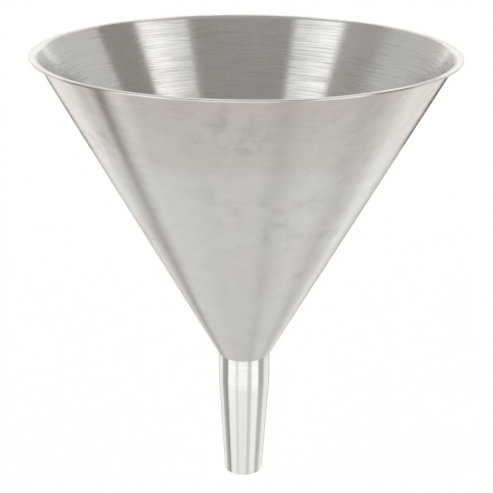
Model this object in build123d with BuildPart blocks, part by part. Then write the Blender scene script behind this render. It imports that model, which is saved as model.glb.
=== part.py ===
"""Canning funnel: a spun stainless cone with a turned-out lip, on a tapered stem tube.

Frame: millimetres, +Z up along the axis of revolution, origin at the centre of the outlet,
which is the foot of the stem.

The pieces:
  cone_bowl    one spun sheet: a flat lip, a conical wall and a short straight collar at its foot
  stem_tube    a tube swaged down to the outlet; its parallel top is the socket for the collar
  joint_weld   the ring of weld in the groove between the tube's top edge and the cone, ground
               flush with the tube
"""

import math
import os

from build123d import *

# ---- driving dimensions -------------------------------------------------------------------
rim_diameter = 168.0  # over the lip
lip_width = 3.0  # from the lip's edge to the corner where the lip and the cone's inside meet
lip_bend_radius = 1.2  # under the lip, on the inside of the bend
cone_half_angle = 29.2  # degrees from the axis
cone_sheet = 0.8

stem_length = 54.3  # from the outlet to the crease under the cone
stem_diameter = 21.2  # over the parallel top
outlet_diameter = 15.7  # over the foot
stem_wall = 0.8
socket_length = 12.1  # from the crease down to where the taper starts
swage_radius = 60.0  # of the soft line between the parallel top and the taper

collar_length = 8.5  # straight foot of the cone, inside the socket
collar_clearance = 0.05  # radial gap between the collar and the socket
knuckle_radius = 1.0  # outside the bend between the cone and its collar
weld_root = 0.5  # from the end of that bend down to the tube's top edge

edge_break = 0.25  # radius that the cut edges are dressed to

# ---- worked out from them -----------------------------------------------------------------
half_angle = math.radians(cone_half_angle)
slope = math.tan(half_angle)  # radius gained for each millimetre of height
wall_across = cone_sheet / math.cos(half_angle)  # the cone's wall, cut level

rim_radius = rim_diameter / 2
stem_radius = stem_diameter / 2
outlet_radius = outlet_diameter / 2
collar_radius = stem_radius - stem_wall - collar_clearance
collar_bore_radius = collar_radius - cone_sheet

crease_z = stem_length  # where the cone's outside is as wide as the stem
knuckle_outside_z = crease_z - (stem_radius - collar_radius) / slope
knuckle_inside_z = crease_z - (stem_radius - wall_across - collar_bore_radius) / slope
rim_z = knuckle_inside_z + (rim_radius - lip_width - collar_bore_radius) / slope

tube_top_z = knuckle_outside_z - knuckle_radius * math.tan(half_angle / 2) - weld_root
taper_top_z = crease_z - socket_length
taper = (stem_radius - outlet_radius) / taper_top_z  # radius gained for each millimetre of height
cut_allowance = stem_wall  # tube left below the outlet before it is cut off
collar_foot_z = tube_top_z - collar_length

# ---- cone_bowl: its inside line, from the collar's foot to the lip's edge, thickened outwards
with BuildPart() as cone_bowl:
    with BuildSketch(Plane.XZ) as cone_section:
        with BuildLine():
            FilletPolyline(
                (collar_bore_radius, collar_foot_z),
                (collar_bore_radius, knuckle_inside_z),
                (rim_radius - lip_width, rim_z),
                (rim_radius, rim_z),
                radius=[knuckle_radius + cone_sheet, lip_bend_radius + cone_sheet],
            )
            offset(amount=cone_sheet, side=Side.RIGHT)
        make_face()
        lip_edge = cone_section.vertices().sort_by(Axis.X)[-2:]
        collar_foot = cone_section.vertices().sort_by(Axis.Y)[:2]
        fillet(lip_edge + collar_foot, edge_break)
    revolve(axis=Axis.Z)
cone_bowl.part.label = "cone_bowl"

# ---- stem_tube: its outside line, from below the outlet up to the top edge, thickened inwards
# and then cut off level at the outlet
with BuildPart() as stem_tube:
    with BuildSketch(Plane.XZ) as stem_section:
        with BuildLine():
            FilletPolyline(
                (outlet_radius - taper * cut_allowance, -cut_allowance),
                (stem_radius, taper_top_z),
                (stem_radius, tube_top_z),
                radius=swage_radius,
            )
            offset(amount=stem_wall, side=Side.LEFT)
        make_face()
        split(bisect_by=Plane.ZX, keep=Keep.TOP)
        outlet_edge = stem_section.vertices().sort_by(Axis.Y)[:2]
        fillet(outlet_edge, edge_break)
    revolve(axis=Axis.Z)
stem_tube.part.label = "stem_tube"

# ---- joint_weld: a block in the groove, less the cone whose wall it lies against -----------
with BuildPart() as joint_weld:
    with BuildSketch(Plane.XZ):
        with BuildLine():
            Polyline(
                (collar_radius - cone_sheet / 2, tube_top_z),
                (stem_radius, tube_top_z),
                (stem_radius, crease_z),
                (stem_radius - wall_across / 2, crease_z),
                (collar_radius - cone_sheet / 2, knuckle_outside_z),
                close=True,
            )
        make_face()
    revolve(axis=Axis.Z)
    add(cone_bowl.part, mode=Mode.SUBTRACT)
joint_weld.part.label = "joint_weld"

# ---- files --------------------------------------------------------------------------------
os.makedirs("parts", exist_ok=True)
for piece in (cone_bowl, stem_tube, joint_weld):
    export_step(piece.part, f"parts/{piece.part.label}.step")

print(f"height {rim_z:.2f}, crease {crease_z:.2f}, tube top {tube_top_z:.2f}")
print(f"collar foot {collar_foot_z:.2f}, bore radius {collar_bore_radius:.2f}")
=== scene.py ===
import math

import bmesh
import bpy
from mathutils import Matrix, Vector


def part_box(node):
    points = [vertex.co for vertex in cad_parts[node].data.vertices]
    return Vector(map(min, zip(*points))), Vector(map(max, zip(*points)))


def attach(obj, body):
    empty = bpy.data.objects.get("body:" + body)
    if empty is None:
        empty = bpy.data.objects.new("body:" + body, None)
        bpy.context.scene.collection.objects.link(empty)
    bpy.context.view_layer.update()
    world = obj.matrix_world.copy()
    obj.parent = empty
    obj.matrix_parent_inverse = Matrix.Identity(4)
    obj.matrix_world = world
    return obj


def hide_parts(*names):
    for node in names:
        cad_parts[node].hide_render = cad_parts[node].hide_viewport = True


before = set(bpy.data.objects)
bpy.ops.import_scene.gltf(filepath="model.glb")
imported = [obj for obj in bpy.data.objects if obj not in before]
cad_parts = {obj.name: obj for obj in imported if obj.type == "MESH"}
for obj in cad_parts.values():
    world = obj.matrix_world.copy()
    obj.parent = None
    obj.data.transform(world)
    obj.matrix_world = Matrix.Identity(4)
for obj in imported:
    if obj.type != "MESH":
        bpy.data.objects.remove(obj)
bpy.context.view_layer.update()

bl_info = {
    "name": "Canning funnel",
    "version": (1, 0, 0),
    "blender": (4, 5, 0),
    "location": "View3D > Sidebar > Funnel",
    "description": "A spun stainless canning funnel, built on its CAD frame",
    "category": "Add Mesh",
}

BOWL_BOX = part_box("cone_bowl")
TUBE_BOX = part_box("stem_tube")

MM = 0.001
TURN = 2 * math.pi
SAME_PLACE = 1e-7                                      # points nearer than this are one point
SHARP = math.radians(40)                               # edges that turn more than this stay sharp
FACING_UP = 0.9                                        # the lip's flat top, by its normal's height
MAP = "round_and_along"

# ---- sizes and colours a user would change -----------------------------------------------------


class FunnelSizes(bpy.types.PropertyGroup):
    """The sheet, the bends and the lengths that the frame's boxes don't give"""

    lip_width: bpy.props.FloatProperty(
        name="Lip width", description="From the lip's edge to the corner inside the cone",
        default=3.0 * MM, unit="LENGTH")
    lip_bend: bpy.props.FloatProperty(
        name="Lip bend", description="Radius of the bend under the lip",
        default=1.2 * MM, unit="LENGTH")
    half_angle: bpy.props.FloatProperty(
        name="Half angle", description="Of the cone, from its axis",
        default=math.radians(29.2), subtype="ANGLE")
    sheet: bpy.props.FloatProperty(
        name="Cone sheet", description="Thickness of the spun sheet",
        default=0.8 * MM, unit="LENGTH")
    outlet_diameter: bpy.props.FloatProperty(
        name="Outlet diameter", description="Over the foot of the stem",
        default=15.7 * MM, unit="LENGTH")
    stem_wall: bpy.props.FloatProperty(
        name="Stem wall", description="Thickness of the stem's tube",
        default=0.8 * MM, unit="LENGTH")
    socket_length: bpy.props.FloatProperty(
        name="Socket length", description="From the crease down to where the taper starts",
        default=12.1 * MM, unit="LENGTH")
    swage_bend: bpy.props.FloatProperty(
        name="Swage bend", description="Radius of the soft line above the taper",
        default=60.0 * MM, unit="LENGTH")
    collar_gap: bpy.props.FloatProperty(
        name="Collar gap", description="Between the collar and the socket",
        default=0.05 * MM, unit="LENGTH")
    knuckle: bpy.props.FloatProperty(
        name="Knuckle", description="Radius outside the bend between cone and collar",
        default=1.0 * MM, unit="LENGTH")
    edge_break: bpy.props.FloatProperty(
        name="Edge break", description="Radius that the cut edges are dressed to",
        default=0.25 * MM, unit="LENGTH")
    steps: bpy.props.IntProperty(
        name="Steps", description="Faces round the funnel", default=256, min=32)


def linear(hex_colour):
    """An sRGB hex colour as linear red, green, blue and 1."""
    values = [int(hex_colour[i:i + 2], 16) / 255 for i in (0, 2, 4)]
    return [v / 12.92 if v <= 0.04045 else ((v + 0.055) / 1.055) ** 2.4 for v in values] + [1]


def colour(name, description, hex_colour):
    return bpy.props.FloatVectorProperty(
        name=name, description=description, default=linear(hex_colour),
        subtype="COLOR", size=4, min=0, max=1)


class FunnelColours(bpy.types.PropertyGroup):
    """The colours of the bare metal, of the floor and of the room's light"""

    bowl_metal: colour("Bowl metal", "Brushed stainless", "D7D9D9")
    bowl_stain: colour("Bowl stain", "Where polishing left it warmer", "DAD6D2")
    stem_metal: colour("Stem metal", "Satin stainless", "D9DCDB")
    weld_metal: colour("Weld metal", "Ground weld", "D6D8D7")
    floor_paint: colour("Floor", "Pale matt floor", "FBFBFA")
    floor_glow: colour("Floor glow", "Cool light that keeps the floor pale", "EEF7FF")
    room_glow: colour("Room glow", "Warm light that reaches everything", "695C4E")


# ---- small helpers -----------------------------------------------------------------------------


MATH, VECTOR, RANGE, NOISE = ("ShaderNodeMath", "ShaderNodeVectorMath", "ShaderNodeMapRange",
                              "ShaderNodeTexNoise")


def add(tree, kind, inputs=None, **settings):
    """Adds a node with its settings. An input given as a node or a socket is linked, else set."""
    made = tree.nodes.new(kind)
    for name, value in settings.items():
        setattr(made, name, value)
    for name, value in (inputs or {}).items():
        if isinstance(value, bpy.types.Node):
            value = value.outputs[0]
        if isinstance(value, bpy.types.NodeSocket):
            tree.links.new(value, made.inputs[name])
        else:
            made.inputs[name].default_value = value
    return made


class Pen:
    """Draws a turned piece's section: straight runs and round bends, radius across, height up."""

    def __init__(self, bm, start):
        self.bm = bm
        self.first = self.last = bm.verts.new((start[0], 0, start[1]))

    def _run(self, point, cuts):
        start = self.last.co.copy()
        if (point - start).length < SAME_PLACE:
            return
        for i in range(cuts + 1):
            made = bmesh.ops.extrude_vert_indiv(self.bm, verts=[self.last])
            self.last = made["verts"][0]
            self.last.co = start.lerp(point, (i + 1) / (cuts + 1))

    def line(self, to, bend=0.0, then=None, steps=8, cuts=0):
        """A run towards the corner `to`, and there a bend of that radius towards `then`."""
        corner = Vector((to[0], 0, to[1]))
        if not bend:
            self._run(corner, cuts)
            return
        along = (corner - self.last.co).normalized()
        away = (Vector((then[0], 0, then[1])) - corner).normalized()
        turn = along.angle(away)
        side = 1 if along.cross(away).y > 0 else -1
        self._run(corner - along * bend * math.tan(turn / 2), cuts)
        across = Matrix.Rotation(side * math.pi / 2, 3, "Y") @ along
        made = bmesh.ops.spin(
            self.bm, geom=[self.last], cent=self.last.co + across * bend, axis=(0, side, 0),
            angle=turn, steps=steps, use_merge=False)
        self.last = next(v for v in made["geom_last"] if isinstance(v, bmesh.types.BMVert))

    def close(self):
        self.bm.edges.new((self.last, self.first))


def turn_section(bm, steps):
    """Spins the closed section full round and maps it: u round the axis, v along the section."""
    along = bm.verts.layers.float.new("along")
    vert = first = bm.verts[:][0]
    came, length = None, 0.0
    while True:
        vert[along] = length
        edge = next(e for e in vert.link_edges if e is not came)
        came, vert = edge, edge.other_vert(vert)
        length += edge.calc_length()
        if vert is first:
            break
    total = length
    bmesh.ops.spin(bm, geom=bm.verts[:] + bm.edges[:], cent=(0, 0, 0), axis=(0, 0, 1),
                   angle=TURN, steps=steps, use_merge=True)
    bmesh.ops.remove_doubles(bm, verts=bm.verts[:], dist=SAME_PLACE)
    bmesh.ops.recalc_face_normals(bm, faces=bm.faces[:])
    for edge in bm.edges:
        edge.smooth = edge.calc_face_angle(0) < SHARP
    uv = bm.loops.layers.uv.new(MAP)
    for face in bm.faces:
        face.smooth = True
        middle = face.calc_center_median()
        turned = math.atan2(middle.y, middle.x)
        most = max(loop.vert[along] for loop in face.loops)
        for loop in face.loops:
            co = loop.vert.co
            angle = math.atan2(co.y, co.x)
            angle += TURN * round((turned - angle) / TURN)
            v = loop.vert[along]
            if most - v > total / 2:
                v += total
            loop[uv].uv = (angle / TURN, v)


def place(bm, name, materials, node_name):
    """Makes the piece from its mesh: it rides on the only body, and stands for its CAD node."""
    for face in bm.faces:
        middle = face.calc_center_median()
        inward = face.normal.x * middle.x + face.normal.y * middle.y < 0
        face.material_index = len(materials) - 1 if inward or face.normal.z > FACING_UP else 0
    mesh = bpy.data.meshes.new(name)
    bm.to_mesh(mesh)
    bm.free()
    piece = bpy.data.objects.new(name, mesh)
    bpy.context.scene.collection.objects.link(piece)
    for material in materials:
        mesh.materials.append(material)
    normals = piece.modifiers.new("flat_faces_stay_flat", "WEIGHTED_NORMAL")
    normals.weight = 50
    normals.keep_sharp = True
    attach(piece, "root")
    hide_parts(node_name)


def sizes():
    """The sizes as set, with those worked out from them and from the frame's boxes."""
    s = bpy.context.scene.funnel_sizes
    d = {name: getattr(s, name) for name in s.__annotations__}
    low, high = BOWL_BOX
    d["rim"] = min(-low.x, -low.y, high.x, high.y)
    d["rim_z"] = high.z
    d["foot_z"] = TUBE_BOX[0].z
    d["stem"] = min(TUBE_BOX[1].x, TUBE_BOX[1].y)
    d["tube_top"] = TUBE_BOX[1].z
    d["collar_foot"] = low.z
    d["slope"] = math.tan(s.half_angle)
    d["across"] = s.sheet / math.cos(s.half_angle)
    d["collar"] = d["stem"] - s.stem_wall - s.collar_gap
    d["bore"] = d["collar"] - s.sheet
    d["knuckle_in"] = d["rim_z"] - (d["rim"] - s.lip_width - d["bore"]) / d["slope"]
    d["knuckle_out"] = d["knuckle_in"] + (d["collar"] - d["bore"] - d["across"]) / d["slope"]
    d["crease"] = d["knuckle_out"] + (d["stem"] - d["collar"]) / d["slope"]
    return d


# ---- materials ---------------------------------------------------------------------------------


NICK_GLINT_MM, NICK_GLINT_RUN_MM = 0.5, 1.4                        # a small nick's height and length, where its painted glint shows
TOOL_ROUGHNESS = 0.015                                 # by how much the tool's passes differ
WORKED_DARKER, WORKED_SMOOTHER = 0.17, 0.15            # the band gone over once more
ACROSS_THE_LINES = 0.25                                # of a turn: light spreads across the lines


def brushed_metal(name, metal, stain, line_mm, run_mm, rough, drawn, streaky, leaning, grain,
                  groove_mm, cloud_mm, cloudy, painted_nick_glint=0.0, handled=0.0, worked_above=None):
    """Stainless with fine lines round the axis.

    To the eye: light is drawn out up and down the wall into long streaks with clean sides. Each
    hair line is a little smoother or rougher than the next, so a streak is combed into fine dashes,
    while the darker metal between streaks stays calm. Where it was handled it is cloudy.

    A real belt's lines are some 0.05 mm apart, too fine to show from here, so line_mm is drawn six
    to eight times coarser. The tool's passes, the clouds and the marks have their real sizes.
    """
    material = bpy.data.materials.new(name)
    material.use_nodes = True
    tree = material.node_tree
    tree.nodes.clear()
    where = add(tree, "ShaderNodeTexCoord").outputs["Object"]
    xyz = add(tree, "ShaderNodeSeparateXYZ", {0: where}).outputs
    mapped = add(tree, "ShaderNodeUVMap", uv_map=MAP)
    along = add(tree, "ShaderNodeSeparateXYZ", {0: mapped}).outputs["Y"]

    # hair lines, the tool's passes, the small nick marks that hold a painted glint, and the
    # grooves' lean: noise drawn out round the axis
    drawn_out = []
    for spacing, length, detail in (
            (line_mm, run_mm, 2.0), (line_mm * 6, run_mm * 4, 1.0),
            (NICK_GLINT_MM, NICK_GLINT_RUN_MM, 0.0), (line_mm * 1.3, run_mm * 1.5, 2.0)):
        fine, long = 1 / (spacing * MM), 1 / (length * MM)
        at = add(tree, "ShaderNodeCombineXYZ", {
            "X": add(tree, MATH, {0: xyz["X"], 1: long}, operation="MULTIPLY"),
            "Y": add(tree, MATH, {0: xyz["Y"], 1: long}, operation="MULTIPLY"),
            "Z": add(tree, MATH, {0: along, 1: fine}, operation="MULTIPLY")})
        drawn_out.append(add(tree, NOISE, {
            "Vector": at, "Scale": 1.0, "Detail": detail, "Roughness": 0.55}))
    hair, tool, nick_glint_mask, side = drawn_out
    cloud, smear, patch = (
        add(tree, NOISE, {"Vector": where, "Scale": 1 / (size * MM), "Detail": 3.0,
                          "Distortion": twist})
        for size, twist in ((cloud_mm, 0.4), (cloud_mm / 5, 0.3), (cloud_mm * 1.3, 0.0)))

    # colour: bare metal, warmer where stained, darker under finger marks, and a painted glint:
    # brighter colour in small nick marks, standing in for light they catch
    warm = add(tree, RANGE, {"Value": cloud, "From Min": 0.5, "From Max": 0.75})
    level = add(tree, RANGE, {"Value": smear, "From Min": 0.35, "From Max": 0.75,
                              "To Min": 1.0, "To Max": 1 - cloudy})
    smudge = add(tree, RANGE, {"Value": smear, "From Min": 0.48, "From Max": 0.70,
                               "To Max": handled})
    touched = add(tree, RANGE, {"Value": patch, "From Min": 0.52, "From Max": 0.62})
    marks = add(tree, MATH, {0: smudge, 1: touched}, operation="MULTIPLY")
    level = add(tree, MATH, {0: level, 1: marks}, operation="SUBTRACT")
    line_shade = add(tree, RANGE, {"Value": hair, "From Min": 0.3, "From Max": 0.7,
                                   "To Min": -grain, "To Max": grain})
    level = add(tree, MATH, {0: level, 1: line_shade}, operation="ADD")
    # painted glint: the metal's colour is lifted in the nick marks to look like caught light
    painted_glint = add(tree, RANGE, {"Value": nick_glint_mask, "From Min": 0.82, "From Max": 0.87,
                              "To Max": painted_nick_glint})
    level = add(tree, MATH, {0: level, 1: painted_glint}, operation="ADD")

    # roughness: the lines, the tool's passes and the clouds each differ a little
    coarse = add(tree, RANGE, {"Value": hair, "From Min": 0.38, "From Max": 0.62,
                               "To Min": rough - streaky, "To Max": rough + streaky})
    for noise, differs in ((tool, TOOL_ROUGHNESS), (cloud, cloudy / 3)):
        change = add(tree, RANGE, {"Value": noise, "From Min": 0.35, "From Max": 0.65,
                                   "To Min": -differs, "To Max": differs})
        coarse = add(tree, MATH, {0: coarse, 1: change}, operation="ADD")

    if worked_above is not None:
        # the top of the cone was gone over once more: smoother, warmer and a shade darker. Part of
        # the change shows as an edge that wanders a little, and the rest comes on slowly.
        wander = add(tree, RANGE, {"Value": patch, "To Min": -4 * MM, "To Max": 4 * MM})
        height = add(tree, MATH, {0: xyz["Z"], 1: wander}, operation="ADD")
        edge, slow = (
            add(tree, RANGE, {"Value": height, "From Min": worked_above - below * MM,
                              "From Max": worked_above + above * MM, "To Max": share})
            for below, above, share in ((2, 2, 0.4), (20, 26, 0.6)))
        worked = add(tree, MATH, {0: edge, 1: slow}, operation="ADD")
        warm = add(tree, MATH, {0: warm, 1: worked}, operation="MAXIMUM")
        level = add(tree, MATH, {0: worked, 1: -WORKED_DARKER, 2: level},
                    operation="MULTIPLY_ADD")
        coarse = add(tree, MATH, {0: worked, 1: -WORKED_SMOOTHER, 2: coarse},
                     operation="MULTIPLY_ADD")

    tint = add(tree, "ShaderNodeMix", {0: warm, 6: metal, 7: stain}, data_type="RGBA").outputs[2]
    shade = add(tree, VECTOR, {0: tint, "Scale": level}, operation="SCALE")
    # grooves, each of which also leans a little to one side or the other
    groove = add(tree, "ShaderNodeBump", {
        "Height": hair, "Strength": 1.0, "Distance": groove_mm * MM})
    round_axis = add(tree, "ShaderNodeTangent", direction_type="UV_MAP", uv_map=MAP)
    lean = add(tree, RANGE, {"Value": side, "From Min": 0.3, "From Max": 0.7,
                             "To Min": -leaning, "To Max": leaning})
    to_side = add(tree, VECTOR, {0: round_axis, "Scale": lean}, operation="SCALE")
    leaned = add(tree, VECTOR, {0: to_side, 1: groove}, operation="ADD")
    facing = add(tree, VECTOR, {0: leaned}, operation="NORMALIZE")
    shader = add(tree, "ShaderNodeBsdfPrincipled", {
        "Base Color": shade, "Metallic": 1.0, "Roughness": coarse, "Anisotropic": drawn,
        "Anisotropic Rotation": ACROSS_THE_LINES, "Tangent": round_axis, "Normal": facing})
    add(tree, "ShaderNodeOutputMaterial", {"Surface": shader})
    return material


# ---- operators ---------------------------------------------------------------------------------


class FUNNEL_OT_bowl(bpy.types.Operator):
    """Spin the cone bowl: collar, knuckle, wall and turned-out lip in one sheet"""

    bl_idname = "funnel.bowl"
    bl_label = "Cone bowl"

    def execute(self, context):
        d = sizes()
        colours = context.scene.funnel_colours
        top, under = d["rim_z"], d["rim_z"] - d["sheet"]
        inner_lip = (d["rim"] - d["lip_width"], top)
        outer_lip = (d["rim"] - d["lip_width"] - d["sheet"] * d["slope"] + d["across"], under)
        inner_knuckle = (d["bore"], d["knuckle_in"])
        outer_knuckle = (d["collar"], d["knuckle_out"])
        foot_in, foot_out = (d["bore"], d["collar_foot"]), (d["collar"], d["collar_foot"])
        bm = bmesh.new()
        pen = Pen(bm, (d["bore"], (d["collar_foot"] + d["knuckle_in"]) / 2))
        pen.line(inner_knuckle, d["knuckle"] + d["sheet"], inner_lip)
        pen.line(inner_lip, d["lip_bend"] + d["sheet"], (d["rim"], top), cuts=40)
        pen.line((d["rim"], top), d["edge_break"], (d["rim"], under), steps=4)
        pen.line((d["rim"], under), d["edge_break"], outer_lip, steps=4)
        pen.line(outer_lip, d["lip_bend"], outer_knuckle)
        pen.line(outer_knuckle, d["knuckle"], foot_out, cuts=40)
        pen.line(foot_out, d["edge_break"], foot_in, steps=3)
        pen.line(foot_in, d["edge_break"], inner_knuckle, steps=3)
        pen.close()
        turn_section(bm, d["steps"])
        # Stainless sheet, spun on a lathe. Inside, brushed round with a coarse abrasive: crisp
        # streaks with open hair lines. Outside, gone over with a fine one: softer and hazier.
        inside = brushed_metal(
            "spun_stainless_brushed_inside", colours.bowl_metal, colours.bowl_stain,
            line_mm=0.38, run_mm=20, rough=0.22, drawn=1.0, streaky=0.12, leaning=0.003,
            grain=0.03, groove_mm=0.01, cloud_mm=34, cloudy=0.05)
        outside = brushed_metal(
            "spun_stainless_satin_outside", colours.bowl_metal, colours.bowl_stain,
            line_mm=0.40, run_mm=16, rough=0.34, drawn=0.85, streaky=0.02, leaning=0.006,
            # a painted glint in small nick marks: brighter colour standing in for caught light
            grain=0.025, groove_mm=0.006, cloud_mm=30, cloudy=0.06, painted_nick_glint=0.25,
            handled=0.10, worked_above=0.150)
        place(bm, "bowl", (outside, inside), "cone_bowl")
        return {"FINISHED"}


class FUNNEL_OT_stem(bpy.types.Operator):
    """Make the stem: a tube swaged down to its outlet, with a parallel socket at the top"""

    bl_idname = "funnel.stem"
    bl_label = "Stem tube"

    def execute(self, context):
        d = sizes()
        colours = context.scene.funnel_colours
        foot, top = d["foot_z"], d["tube_top"]
        outlet = d["outlet_diameter"] / 2
        taper_top = d["crease"] - d["socket_length"]
        taper = (d["stem"] - outlet) / (taper_top - foot)
        wall_level = d["stem_wall"] * math.hypot(1, taper)
        inner_taper_top = foot + (d["stem"] - d["stem_wall"] - outlet + wall_level) / taper
        bend_out = (d["stem"], taper_top)
        bend_in = (d["stem"] - d["stem_wall"], inner_taper_top)
        foot_out, foot_in = (outlet, foot), (outlet - wall_level, foot)
        top_out, top_in = (d["stem"], top), (d["stem"] - d["stem_wall"], top)
        bm = bmesh.new()
        pen = Pen(bm, (outlet + taper * (taper_top - foot) / 2, (taper_top + foot) / 2))
        pen.line(bend_out, d["swage_bend"], top_out, cuts=10)
        pen.line(top_out, cuts=4)
        pen.line(top_in)
        pen.line(bend_in, d["swage_bend"] - d["stem_wall"], foot_in, cuts=4)
        pen.line(foot_in, d["edge_break"], foot_out, steps=4, cuts=20)
        pen.line(foot_out, d["edge_break"], bend_out, steps=4)
        pen.close()
        turn_section(bm, d["steps"] // 2)
        # Stainless tube, swaged on a mandrel and satin finished with a finer belt.
        satin = brushed_metal(
            "swaged_stainless_satin", colours.stem_metal, colours.bowl_metal,
            line_mm=0.30, run_mm=9, rough=0.21, drawn=0.95, streaky=0.02, leaning=0.006,
            grain=0.025, groove_mm=0.004, cloud_mm=14, cloudy=0.03)
        place(bm, "stem", (satin,), "stem_tube")
        return {"FINISHED"}


class FUNNEL_OT_weld(bpy.types.Operator):
    """Fill the groove between the tube's top edge and the cone with the ground weld"""

    bl_idname = "funnel.weld"
    bl_label = "Joint weld"

    def execute(self, context):
        d = sizes()
        colours = context.scene.funnel_colours
        bm = bmesh.new()
        pen = Pen(bm, (d["collar"], d["tube_top"]))
        pen.line((d["stem"], d["tube_top"]))
        pen.line((d["stem"], d["crease"]), cuts=2)
        pen.line((d["collar"], d["knuckle_out"]), d["knuckle"], (d["collar"], d["tube_top"]))
        pen.close()
        turn_section(bm, d["steps"] // 2)
        # Stainless filler, ground flush with the tube and blended into it with the same belt.
        ground = brushed_metal(
            "ground_flush_weld", colours.weld_metal, colours.bowl_metal,
            line_mm=0.30, run_mm=7, rough=0.22, drawn=0.95, streaky=0.02, leaning=0.01,
            grain=0.03, groove_mm=0.005, cloud_mm=6, cloudy=0.04)
        place(bm, "weld", (ground,), "joint_weld")
        return {"FINISHED"}


# ---- stage -------------------------------------------------------------------------------------

# the camera: where it stands and how it looks, with lengths as shares of the rim's radius
LENS = 98.4
CAMERA_OUT, CAMERA_UP = 6.2, 1.2256                    # out from the axis, up from the rim
LOOK_DOWN, LOOK_ASIDE, ROLL = 0.33907, 0.00125, 0.00726

FLOOR_DROP, FLOOR_RADIUS = 1.0, 12.0                   # far enough below to hold no shadow
FLOOR_GLOW = 0.40                                      # strength of its own light

# The light tent: five rows of cards and soft boxes round the funnel. Each row has how far behind
# the middle it is seen from, and its cards. A card is given by the angle where it starts (0 towards
# the camera, growing to its right), how softly it starts, and its brightness, and it ends where the
# next one starts. The sides of the cards are upright cuts seen from that line behind the middle, so
# each shows on the metal as a streak that runs with the wall.
TOP = (0.87, ((-180, 0, 0.42),))                       # the dim roof of the tent
HIGH_ROW = (0.87, (                                    # what the inside of the cone shows
    (-180, 0, 1.15), (-95, 10, 0.55), (-50, 8, 0.36),
    (-32.3, 2, 1.25), (-22, 8, 0.98),                  # left strip light
    (-15.8, 2, 0.24),                                  # open side, with the camera
    (19, 2, 0.92), (26, 8, 1.30),                      # right strip light
    (36.8, 1.5, 0.25), (53, 2, 0.60), (95, 10, 1.15)))
MIDDLE_ROW = (0.93, (                                  # what the stem shows
    (-180, 0, 0.60), (-90, 8, 1.05), (-56, 5, 0.34),
    (-38, 4, 1.42),                                    # left strip light
    (-19.5, 3, 1.00), (-13, 4, 1.42), (8, 4, 0.80),
    (17, 4, 1.45),                                     # right strip light
    (33.8, 4, 0.42), (50, 5, 1.0), (90, 8, 0.60)))
LOW_ROW = (1.12, (                                     # what the cone's sides show
    (-180, 0, 1.15), (-50, 8, 0.84),
    (-40.4, 2, 0.20),                                  # black card
    (-33.6, 3, 0.80), (-20, 6, 0.74), (-11, 4, 0.75), (7, 4, 0.66),
    (14, 5, 0.78), (31, 5, 0.70), (38, 4, 0.86), (44, 6, 1.15)))
TABLE = (1.05, (                                       # what the cone's front shows
    (-180, 0, 1.20), (-50, 8, 1.05), (-43, 4, 1.05), (-34, 5, 0.77), (-20, 6, 0.74),
    (-11, 4, 0.76), (7, 4, 0.67), (14, 5, 0.78), (31, 5, 0.70), (39, 4, 0.82), (46, 6, 1.15)))
# the rows from the table up, and the elevation and softness of the joins between them
ROWS = (TABLE, LOW_ROW, MIDDLE_ROW, HIGH_ROW, TOP)
JOINS = ((-46, 3), (-33, 10), (8, 12), (55, 10))
# black cards behind the funnel, which edge the bright metal with a thin dark line: from and to
# angle (180 is straight behind), and from and to elevation
EDGE_CARDS = ((156, 180, -34, -9), (183, 202, -34, -15.5))
FULLY_BLACK = 0.8                                      # share of such a card inside its soft edge
BRIGHTEST = 1.5                                        # what the ramps' white stands for
SEEN_BRIGHTNESS = 0.985                                # how the plain backdrop shows


def row_of_cards(tree, way, behind, cards):
    """The brightness of one row, as a ramp over the angle seen from the line behind the middle."""
    ahead = add(tree, MATH, {0: behind, 1: way["Y"]}, operation="SUBTRACT")
    angle = add(tree, MATH, {0: way["X"], 1: ahead}, operation="ARCTAN2")
    place_on_ramp = add(tree, RANGE, {"Value": angle, "From Min": -math.pi, "From Max": math.pi})
    ramp = add(tree, "ShaderNodeValToRGB", {0: place_on_ramp})
    stops = ramp.color_ramp.elements
    before = cards[0][2]
    made = 0
    for start, soft, brightness in cards:
        for at, value in ((start - soft / 2, before), (start + soft / 2, brightness)):
            stop = stops[made] if made < len(stops) else stops.new(1.0)
            stop.position = min(max(at / 360 + 0.5, 0.0), 1.0)
            stop.color = [value / BRIGHTEST] * 3 + [1]
            made += 1
        before = brightness
    return ramp.outputs[0]


def black_card(tree, spans):
    """How much a black card hides: 1 inside all its spans (angle, from, to), with soft edges."""
    hidden = 1.0
    for angle, start, stop in spans:
        middle, half = math.radians((start + stop) / 2), math.radians((stop - start) / 2)
        off_middle = add(tree, MATH, {0: angle, 1: middle}, operation="SUBTRACT")
        off_middle = add(tree, MATH, {0: off_middle}, operation="ABSOLUTE")
        inside = add(tree, RANGE, {"Value": off_middle, "From Min": half,
                                   "From Max": half * FULLY_BLACK})
        hidden = add(tree, MATH, {0: hidden, 1: inside}, operation="MULTIPLY")
    return hidden


def stand_camera(scene):
    """Stands the camera in front of the funnel, looking down on the rim."""
    d = sizes()
    camera = bpy.data.objects.new("camera", bpy.data.cameras.new("camera"))
    scene.collection.objects.link(camera)
    camera.data.sensor_width = 36
    camera.data.lens = LENS
    camera.data.clip_end = 50
    camera.location = (0, -CAMERA_OUT * d["rim"], d["rim_z"] + CAMERA_UP * d["rim"])
    forward = Vector((LOOK_ASIDE, 1, -math.tan(LOOK_DOWN)))
    aimed = forward.to_track_quat("-Z", "Y").to_matrix() @ Matrix.Rotation(ROLL, 3, "Z")
    camera.rotation_euler = aimed.to_euler()
    scene.camera = camera


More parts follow.
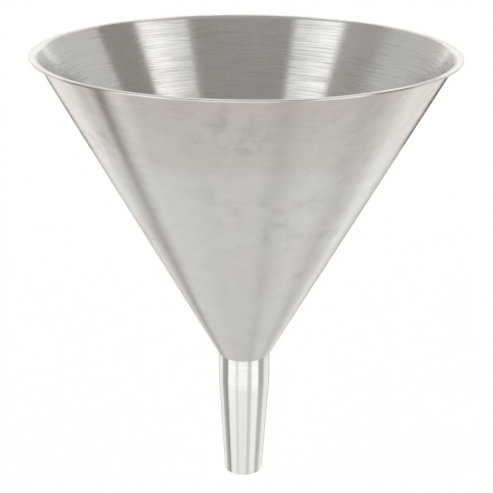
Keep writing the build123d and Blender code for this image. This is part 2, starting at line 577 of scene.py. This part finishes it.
def lay_floor(scene):
    """Lays the plain floor, which the metal doesn't show."""
    bm = bmesh.new()
    bmesh.ops.create_circle(bm, cap_ends=True, segments=96, radius=FLOOR_RADIUS)
    bmesh.ops.translate(bm, verts=bm.verts[:], vec=(0, 0, -FLOOR_DROP))
    mesh = bpy.data.meshes.new("floor")
    bm.to_mesh(mesh)
    bm.free()
    floor = bpy.data.objects.new("floor", mesh)
    scene.collection.objects.link(floor)
    floor.visible_glossy = False
    # Matt paint with a faint glow of its own: it stays an even, pale tone with no shadow.
    paint = bpy.data.materials.new("matt_floor_paint")
    paint.use_nodes = True
    tree = paint.node_tree
    tree.nodes.clear()
    colours = scene.funnel_colours
    shader = add(tree, "ShaderNodeBsdfPrincipled", {
        "Base Color": colours.floor_paint, "Roughness": 0.9,
        "Emission Color": colours.floor_glow, "Emission Strength": FLOOR_GLOW})
    add(tree, "ShaderNodeOutputMaterial", {"Surface": shader})
    mesh.materials.append(paint)


def light_tent(scene):
    """Puts the light tent round the scene. The camera sees a plain backdrop in its place."""
    world = bpy.data.worlds.new("studio")
    scene.world = world
    world.use_nodes = True
    tree = world.node_tree
    tree.nodes.clear()
    direction = add(tree, "ShaderNodeTexCoord").outputs["Generated"]
    way = add(tree, "ShaderNodeSeparateXYZ", {0: direction}).outputs
    raised = add(tree, MATH, {0: way["Z"]}, operation="ARCSINE")
    rows = [row_of_cards(tree, way, *row) for row in ROWS]
    light = rows[0]
    for higher, (join, soft) in zip(rows[1:], JOINS):
        share = add(tree, RANGE, {"Value": raised, "From Min": math.radians(join - soft / 2),
                                  "From Max": math.radians(join + soft / 2)},
                    interpolation_type="SMOOTHSTEP")
        light = add(tree, "ShaderNodeMix", {0: share, 6: light, 7: higher},
                    data_type="RGBA").outputs[2]

    # the angle from the camera's side, all the way round from 0 to a full turn
    to_front = add(tree, MATH, {0: 0.0, 1: way["Y"]}, operation="SUBTRACT")
    angle = add(tree, MATH, {0: way["X"], 1: to_front}, operation="ARCTAN2")
    turned = add(tree, MATH, {0: angle, 1: TURN, 2: 0.0}, operation="WRAP")
    scale = BRIGHTEST
    for left, right, bottom, top in EDGE_CARDS:
        hidden = black_card(tree, ((turned, left, right), (raised, bottom, top)))
        unhidden = add(tree, MATH, {0: 1.0, 1: hidden}, operation="SUBTRACT")
        scale = add(tree, MATH, {0: scale, 1: unhidden}, operation="MULTIPLY")
    light = add(tree, VECTOR, {0: light, "Scale": scale}, operation="SCALE")
    glow = scene.funnel_colours.room_glow[:3]
    light = add(tree, VECTOR, {0: light, 1: glow}, operation="ADD")
    seen = add(tree, "ShaderNodeLightPath").outputs["Is Camera Ray"]
    light = add(tree, "ShaderNodeMix", {0: seen, 6: light, 7: [SEEN_BRIGHTNESS] * 3 + [1]},
                data_type="RGBA").outputs[2]
    background = add(tree, "ShaderNodeBackground", {"Color": light, "Strength": 1.0})
    add(tree, "ShaderNodeOutputWorld", {"Surface": background})


class FUNNEL_OT_stage(bpy.types.Operator):
    """Set the pale floor, the soft studio light and the camera"""

    bl_idname = "funnel.stage"
    bl_label = "Stage"

    def execute(self, context):
        stand_camera(context.scene)
        lay_floor(context.scene)
        light_tent(context.scene)
        context.scene.view_settings.view_transform = "Standard"
        return {"FINISHED"}


class FUNNEL_PT_panel(bpy.types.Panel):
    """The funnel's sizes, colours and build steps"""

    bl_idname = "FUNNEL_PT_panel"
    bl_label = "Canning funnel"
    bl_space_type = "VIEW_3D"
    bl_region_type = "UI"
    bl_category = "Funnel"

    def draw(self, context):
        column = self.layout.column()
        for group in (context.scene.funnel_sizes, context.scene.funnel_colours):
            for name in group.__annotations__:
                column.prop(group, name)
        for operator in STEPS:
            column.operator(operator.bl_idname)


STEPS = (FUNNEL_OT_bowl, FUNNEL_OT_stem, FUNNEL_OT_weld, FUNNEL_OT_stage)
CLASSES = (FunnelSizes, FunnelColours, *STEPS, FUNNEL_PT_panel)


def register():
    for cls in CLASSES:
        bpy.utils.register_class(cls)
    bpy.types.Scene.funnel_sizes = bpy.props.PointerProperty(type=FunnelSizes)
    bpy.types.Scene.funnel_colours = bpy.props.PointerProperty(type=FunnelColours)


def unregister():
    del bpy.types.Scene.funnel_colours
    del bpy.types.Scene.funnel_sizes
    for cls in reversed(CLASSES):
        bpy.utils.unregister_class(cls)


def main():
    register()
    bpy.ops.funnel.bowl()
    bpy.ops.funnel.stem()
    bpy.ops.funnel.weld()
    bpy.ops.funnel.stage()


if __name__ == "__main__":
    main()
